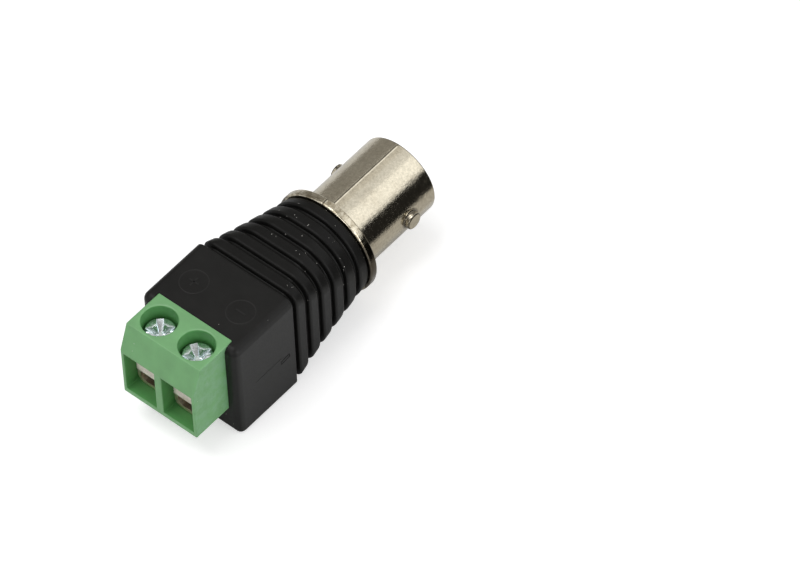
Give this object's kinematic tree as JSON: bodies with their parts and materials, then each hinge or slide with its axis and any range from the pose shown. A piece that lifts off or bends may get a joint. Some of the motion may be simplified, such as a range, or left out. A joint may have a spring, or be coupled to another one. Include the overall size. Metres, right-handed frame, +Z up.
{
  "type": "bnc screw terminal adapter",
  "caption": "In-line adapter with a bayonet radio-frequency socket at one end and a two-pole screw terminal block at the other, in a ribbed black boot.",
  "frame": {"origin": "centre of the adapter's length and width, on the surface that its boot lies on", "axes": "+X across the two wire entries towards the minus pole, +Y along the socket axis out of the socket's mouth, +Z up through the clamp screws"},
  "size_m": [0.0128, 0.0384, 0.0136],
  "materials": {
    "black_rubber": "satin soft plastic",
    "nickel": "bright nickel plate",
    "white_insulator": "satin",
    "gold_contact": "gold flash",
    "tinned_brass": "tin plate",
    "copper_wire": "bare",
    "red_sleeve": "satin",
    "black_sleeve": "satin",
    "solder": "bright",
    "green_plastic": "satin",
    "zinc_steel": "bright zinc plate"
  },
  "bodies": {
    "adapter": {"boot": "black_rubber", "bnc_shell": "nickel", "insulator": "white_insulator", "centre_contact": "gold_contact", "earth_tag": "tinned_brass", "signal_core": "copper_wire", "signal_insulation": "red_sleeve", "earth_core": "copper_wire", "earth_insulation": "black_sleeve", "solder_plus": "solder", "solder_minus": "solder", "solder_centre": "solder", "solder_earth": "solder", "terminal_housing": "green_plastic", "tongue_plus": "tinned_brass", "tongue_minus": "tinned_brass"},
    "screw_plus": {"screw_plus": "zinc_steel"},
    "screw_minus": {"screw_minus": "zinc_steel"},
    "cage_plus": {"cage_plus": "zinc_steel"},
    "cage_minus": {"cage_minus": "zinc_steel"}
  },
  "joints": [
    {"name": "screw_plus_turn", "type": "hinge", "parent": "adapter", "child": "screw_plus", "pos_m": [-0.00254, -0.01562, 0.012], "axis": [0, 0, 1], "range_deg": [-1440, 0]},
    {"name": "screw_minus_turn", "type": "hinge", "parent": "adapter", "child": "screw_minus", "pos_m": [0.00254, -0.01562, 0.012], "axis": [0, 0, 1], "range_deg": [-1440, 0]},
    {"name": "cage_plus_rise", "type": "slide", "parent": "adapter", "child": "cage_plus", "axis": [0, 0, 1], "range_m": [0, 0.0018]},
    {"name": "cage_minus_rise", "type": "slide", "parent": "adapter", "child": "cage_minus", "axis": [0, 0, 1], "range_m": [0, 0.0018]}
  ],
  "couplings": [
    {"joint": "screw_plus_turn", "follows": "cage_plus_rise", "rad_per_m": -13963},
    {"joint": "screw_minus_turn", "follows": "cage_minus_rise", "rad_per_m": -13963}
  ]
}
